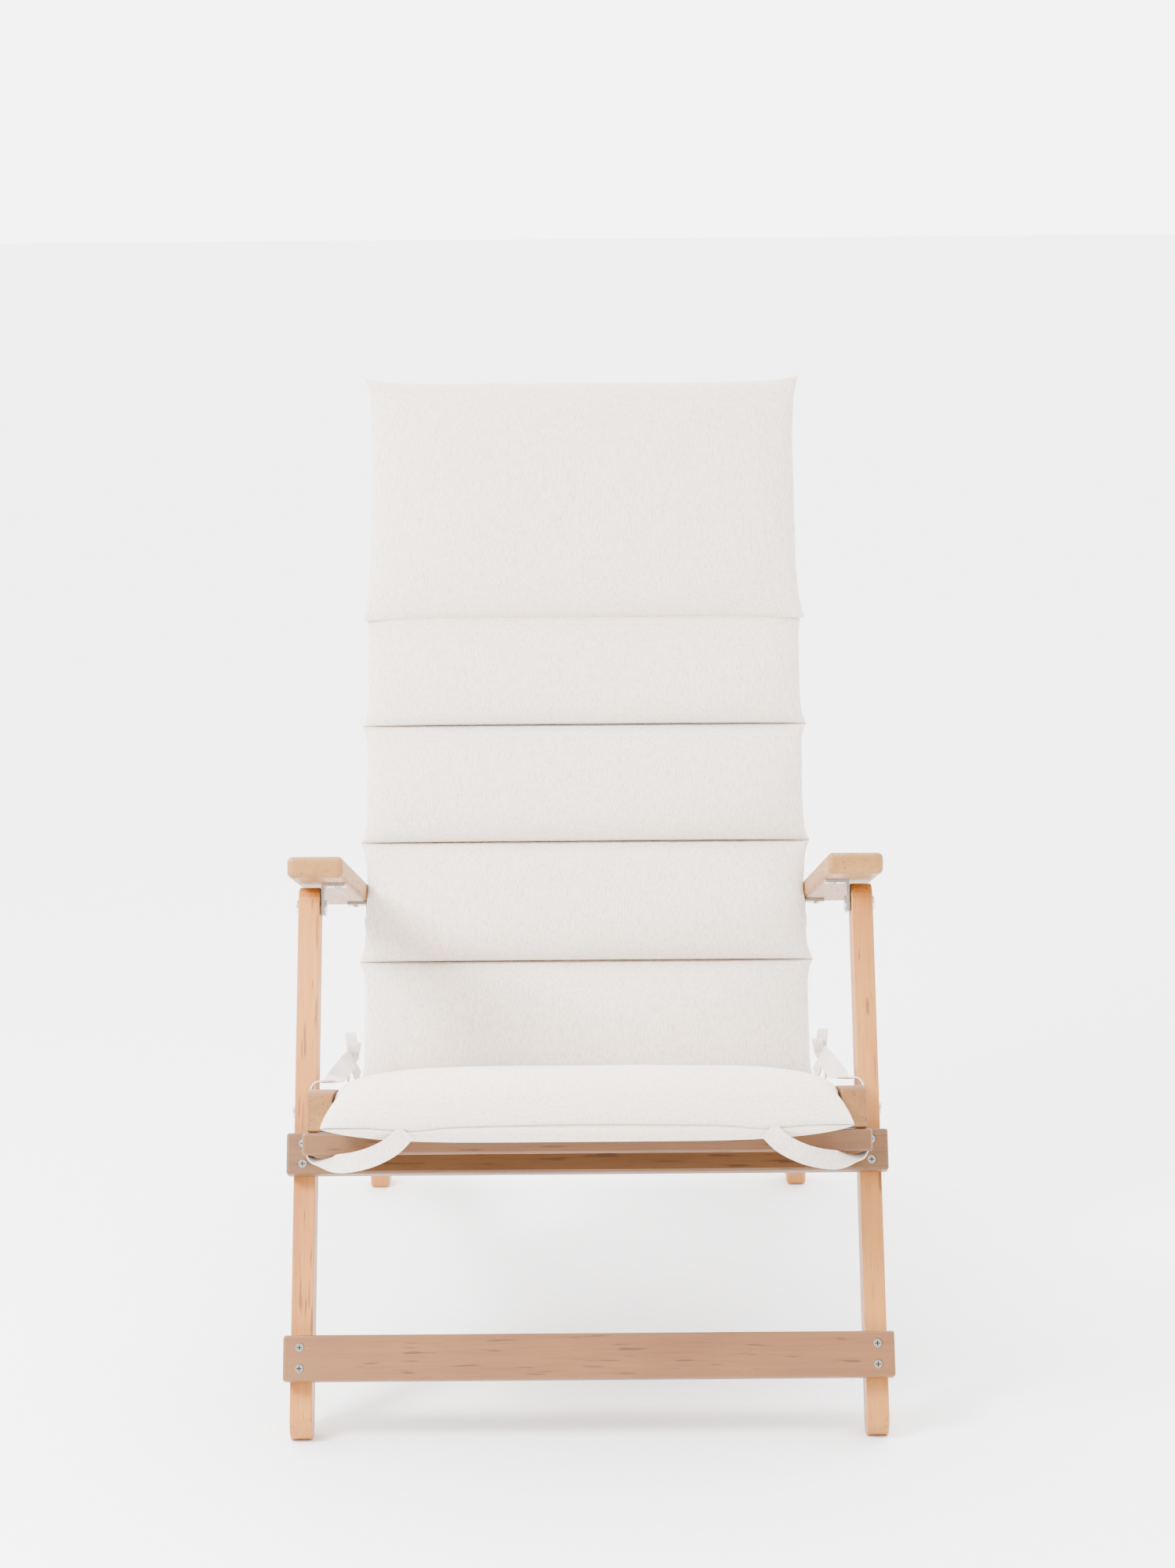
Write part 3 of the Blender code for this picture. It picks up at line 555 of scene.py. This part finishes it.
def cushions():
    """The three cushion pieces, each attached to its frame body."""
    span_up = BACK_SEAMS[-1] - BACK_SEAMS[0]
    seams = [(seam - BACK_SEAMS[0] - STITCHES_BELOW_SEAM) / span_up for seam in BACK_SEAMS[1:4]]
    seams.append(1.0 - STITCHES_BELOW_TOP / span_up)
    back = build_pad("quilted_back", on_back, back_face, back_half, seam_rows(BACK_SEAMS, PANEL_ROWS),
                     [FABRIC_BACK, THREAD], seams)
    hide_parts("back_cushion")
    pillow = build_pad("quilted_pillow", on_back, pillow_face, pillow_half,
                       seam_rows((0.0, 1.0), PILLOW_ROWS), [FABRIC_BACK, THREAD])
    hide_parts("head_pillow")
    seat_seams = [seat_seam_share(place) for place in SEAT_STITCHES]
    seat_rows = [row / SEAT_ROWS for row in range(SEAT_ROWS + 1)]
    seat = build_pad("quilted_seat", on_rail, seat_face, seat_half, seat_rows,
                     [FABRIC_SEAT, THREAD], seat_seams)
    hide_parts("seat_cushion")
    for piece, body in ((back, "back_frame"), (pillow, "back_frame"), (seat, "seat_frame")):
        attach(piece, body)
    for piece in (back, pillow):
        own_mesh(piece)
    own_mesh(seat)


# ---------------------------------------------------------------- straps

# Tape sizes (millimetres)
STRAP_WIDTH = 19
STRAP_THICK = 1.5
TIE_WIDTH = 15
TAIL_WIDTH = 12
LOOP_WIDTH = 11
TIE_THICK = 1.6

def ribbon(work, points, faces_out, width, thick, steps=60):
    """Flat tape along a smooth path; faces_out gives the direction its width runs at each point."""
    rings = []
    for index in range(steps + 1):
        share = index / steps
        middle = smooth_path(points, share)
        after = smooth_path(points, min(share + 0.01, 1.0))
        before = smooth_path(points, max(share - 0.01, 0.0))
        travel = (after - before).normalized()
        across = smooth_path(faces_out, share)
        across = (across - travel * across.dot(travel)).normalized()
        normal = travel.cross(across).normalized()
        corners = ((-1, -1), (1, -1), (1, 1), (-1, 1))
        ring = [work.verts.new(middle + across * (width / 2 * MM * a) + normal * (thick / 2 * MM * b))
                for a, b in corners]
        rings.append(ring)
    for first, second in zip(rings, rings[1:]):
        for corner in range(4):
            after = (corner + 1) % 4
            work.faces.new((first[corner], first[after], second[after], second[corner]))
    work.faces.new(rings[0][::-1])
    work.faces.new(rings[-1])


def strap_route(side):
    """Front strap: seam, under the slat, up the rail's outside, over its top and back to the knot."""
    route = [(175, -186, -21), (189, -187.5, -35), (212, -182, -46), (238, -166, -51), (257, -146, -48.5),
             (268, -118, -46.5), (275.6, -98, -41), (276, -94, -24), (276, -94, -4), (276, -95, 14),
             (271, -94, 26.5), (260, -86, 29.5), (256, -60, 29), (257, 20, 36), (256, 120, 48),
             (253, 186, 58)]
    widths = [(1, 0, 0.2), (0.85, 0, 0.7), (0.5, 0.2, 1), (0.2, 0.5, 1), (0, 1, 0.3), (0, 1, 0),
              (0.2, 1, 0), (0, 1, 0), (0, 1, 0), (0, 1, 0), (0, 1, 0), (0.3, 1, 0), (1, 0.3, 0),
              (1, 0, 0.4), (0.7, 0, 0.7), (0.4, 0, 1)]
    points = [on_rail(side * x, back, up) for x, back, up in route]
    across = [Vector((side * x, 0, 0)) + RAIL_BACK * back + RAIL_UP * up for x, back, up in widths]
    return points, across


def bow(work, side):
    """Knot with two loops and two tails beside the lower corner of the back."""
    knot = on_rail(side * 253, 190, 59)
    out = Vector((side, 0, 0))
    band = bmesh.ops.create_uvsphere(work, u_segments=20, v_segments=12, radius=1.0)
    shape = Matrix.Translation(knot) @ Matrix.Diagonal((6.5 * MM, 8 * MM, 7 * MM, 1.0))
    bmesh.ops.transform(work, verts=band["verts"], matrix=shape)
    up = Vector((0, 0, 1))
    back = Vector((0, 1, 0))
    for lean, tall in ((0.25, 25), (-0.5, 19)):
        heading = (up + out * lean * 0.5 + back * lean).normalized()
        spread = heading.cross(out).normalized()
        loop = [knot, knot + (heading * tall * 0.5 + spread * 5) * MM, knot + heading * tall * MM,
                knot + (heading * tall * 0.5 - spread * 5) * MM, knot]
        ribbon(work, loop, [out] * 5, LOOP_WIDTH, TIE_THICK, 28)
    for lean, drop in ((0.35, 30), (-0.5, 24)):
        tail = [knot, knot + (out * 5 + back * lean * 10 - up * 8) * MM,
                knot + (out * 6 + back * lean * 24 - up * drop) * MM]
        ribbon(work, tail, [back, back, back + up * 0.3], TAIL_WIDTH, TIE_THICK, 20)


def straps():
    """Both tied straps."""
    for label, side in SIDES:
        work = bmesh.new()
        points, across = strap_route(side)
        ribbon(work, points, across, STRAP_WIDTH, STRAP_THICK, 150)
        tie = [on_rail(side * 250, 232, 36), on_rail(side * 255, 215, 50), on_rail(side * 253, 192, 58)]
        ribbon(work, tie, [RAIL_UP] * 3, TIE_WIDTH, TIE_THICK, 20)
        bow(work, side)
        piece = link_mesh("tied_strap_" + label, work, [FABRIC_STRAP])
        piece.data.set_sharp_from_angle(angle=radians(50))
        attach(piece, "seat_frame")
        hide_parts("strap_" + label)


# ---------------------------------------------------------------- hardware

# Screw heads (millimetres)
HEAD_THICK = 1.2
CROSS_DEPTH = 1.6
CROSS_ARM = 1.25
CROSS_WIDE = 0.28
FLUSH_HEAD = 4.15
PAN_HEAD = 3.6
PAN_DOME = 1.4
PAN_SHIFT = 8
BRACKET_UNDERSIDE = 20.6

def recessed_head(name, middle, outward, radius, body, dome=0.0):
    """Screw head with a cross recess, its face at a point; the recess faces take near-black steel as
    painted shade.
    """
    work = bmesh.new()
    bmesh.ops.create_cone(work, cap_ends=True, segments=32, radius1=radius * (1 - 0.25 * bool(dome)),
                          radius2=radius, depth=HEAD_THICK * MM + dome)
    turn = outward.to_track_quat("Z" if not dome else "-Z", "Y").to_matrix().to_4x4()
    place = Matrix.Translation(middle - outward * (HEAD_THICK / 2 * MM - dome / 2)) @ turn
    bmesh.ops.transform(work, verts=work.verts, matrix=place)
    head = link_mesh(name, work, [SCREW_STEEL])
    head.data.set_sharp_from_angle(angle=radians(40))
    cross = bmesh.new()
    facing = outward.to_track_quat("Z", "Y").to_matrix().to_4x4()
    at = Matrix.Translation(middle + outward * dome) @ facing
    for wide, tall in ((CROSS_ARM, CROSS_WIDE), (CROSS_WIDE, CROSS_ARM)):
        size = Matrix.Diagonal((radius * wide, radius * tall, CROSS_DEPTH * MM, 1.0))
        bmesh.ops.create_cube(cross, size=1.0, matrix=at @ size)
    mesh = bpy.data.meshes.new("recess")
    # the cutter carries the near-black painted-shade steel onto the recess faces
    mesh.materials.append(PAINTED_SHADE_RECESS)
    cross.to_mesh(mesh)
    cross.free()
    tool = bpy.data.objects.new("recess", mesh)
    bpy.context.scene.collection.objects.link(tool)
    step = head.modifiers.new("recess", "BOOLEAN")
    step.operation = "DIFFERENCE"
    step.solver = "EXACT"
    step.use_self = True
    step.material_mode = "TRANSFER"
    step.object = tool
    evaluated = head.evaluated_get(bpy.context.evaluated_depsgraph_get())
    baked = bpy.data.meshes.new_from_object(evaluated)
    head.modifiers.clear()
    head.data = baked
    bpy.data.objects.remove(tool, do_unlink=True)
    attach(head, body)
    return head


def crossbar_screws():
    """Recessed heads over the crossbars' screws."""
    for name, node in sorted(frame["nodes"].items()):
        if "crossbar" in name and "_screw_" in name:
            reach = [LEAN_FRONT.dot(vert.co) for vert in node.data.vertices]
            top = max(reach)
            face = [vert.co for vert, far in zip(node.data.vertices, reach) if far > top - 0.00005]
            middle = sum(face, Vector()) / len(face)
            head = recessed_head("head_" + name, middle, LEAN_FRONT, FLUSH_HEAD * MM, "front_leg_frame")
            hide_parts(name)


def bracket_screws():
    """Pan-head screws that hold each bracket to its armrest."""
    for label, side in SIDES:
        for end in ("front", "rear"):
            low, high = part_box("bracket_%s_%s" % (end, label))
            inner = min(abs(low.x), abs(high.x))
            outer = max(abs(low.x), abs(high.x))
            reach = inner + PAN_SHIFT * MM if end == "front" else outer - PAN_SHIFT * MM
            station = ARM_PIVOT if end == "front" else ARM_PIVOT + RAIL_RUN
            for shift in (-PAN_SHIFT, PAN_SHIFT):
                middle = Vector((side * reach, station.y, station.z)) + RAIL_BACK * shift * MM
                middle += RAIL_UP * BRACKET_UNDERSIDE * MM
                recessed_head("screw_%s_%s_%d" % (end, label, shift + PAN_SHIFT), middle, -RAIL_UP,
                              PAN_HEAD * MM, "armrest_%s_body" % label, PAN_DOME * MM)


# ---------------------------------------------------------------- studio

FLOOR_HALF = 400.0
CAMERA_LENS = 74.2
CAMERA_SENSOR = 36.0
CAMERA_X = 0.003
CAMERA_AHEAD = 3.0481
CAMERA_HEIGHT = 1.1856
CAMERA_PITCH = radians(9.742)
CAMERA_ROLL = radians(-0.45)

def studio():
    """Pale floor, a room that is brightest behind and above the chair, and a key from the left."""
    work = bmesh.new()
    bmesh.ops.create_grid(work, x_segments=1, y_segments=1, size=FLOOR_HALF)
    floor = link_mesh("floor", work, [plain("floor_white", (0.93, 0.93, 0.93), 0.7)])
    world = bpy.data.worlds.new("room")
    bpy.context.scene.world = world
    world.use_nodes = True
    nodes, links = world.node_tree.nodes, world.node_tree.links
    sky = nodes["Background"]
    sky.inputs["Color"].default_value = (1.0, 1.0, 1.0, 1.0)
    heading = nodes.new("ShaderNodeSeparateXYZ")
    links.new(nodes.new("ShaderNodeTexCoord").outputs["Generated"], heading.inputs["Vector"])
    behind = scaled_value(nodes, links, heading.outputs["Y"], (-0.6, 0.9), (1.0, 6.4))
    above = scaled_value(nodes, links, heading.outputs["Z"], (0.1, 1.0), (0.0, 3.4))
    total = nodes.new("ShaderNodeMath")
    links.new(behind, total.inputs[0])
    links.new(above, total.inputs[1])
    links.new(total.outputs["Value"], sky.inputs["Strength"])
    soft_light("key", (-1.5, -1.3, 1.9), 0.7, 135.0)
    soft_light("fill", (2.2, -2.6, 1.2), 2.4, 12.0)


def scaled_value(nodes, links, value, source, target):
    """Map a value from one range to another, held at its ends."""
    made = nodes.new("ShaderNodeMapRange")
    made.interpolation_type = "SMOOTHSTEP"
    for name, number in zip(("From Min", "From Max", "To Min", "To Max"), source + target):
        made.inputs[name].default_value = number
    links.new(value, made.inputs["Value"])
    return made.outputs["Result"]


def soft_light(name, place, size, power):
    """Square area light aimed at the chair's middle."""
    lamp = bpy.data.lights.new(name, "AREA")
    lamp.size = size
    lamp.energy = power
    holder = bpy.data.objects.new(name, lamp)
    bpy.context.scene.collection.objects.link(holder)
    holder.location = place
    aim = Vector((0.0, 0.0, 0.45)) - Vector(place)
    holder.rotation_euler = aim.to_track_quat("-Z", "Y").to_euler()


def camera():
    """Camera in front of the chair, looking slightly down."""
    lens = bpy.data.cameras.new("camera")
    lens.lens = CAMERA_LENS
    lens.sensor_width = CAMERA_SENSOR
    holder = bpy.data.objects.new("camera", lens)
    bpy.context.scene.collection.objects.link(holder)
    foot_low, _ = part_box("leg_front_left")
    holder.location = (CAMERA_X, foot_low.y - CAMERA_AHEAD, CAMERA_HEIGHT)
    pitch = Matrix.Rotation(pi / 2 - CAMERA_PITCH, 4, "X")
    roll = Matrix.Rotation(CAMERA_ROLL, 4, "Z")
    holder.matrix_world = Matrix.Translation(holder.location) @ pitch @ roll
    bpy.context.scene.camera = holder


camera()
dress_frame()
cushions()
straps()
crossbar_screws()
bracket_screws()
studio()
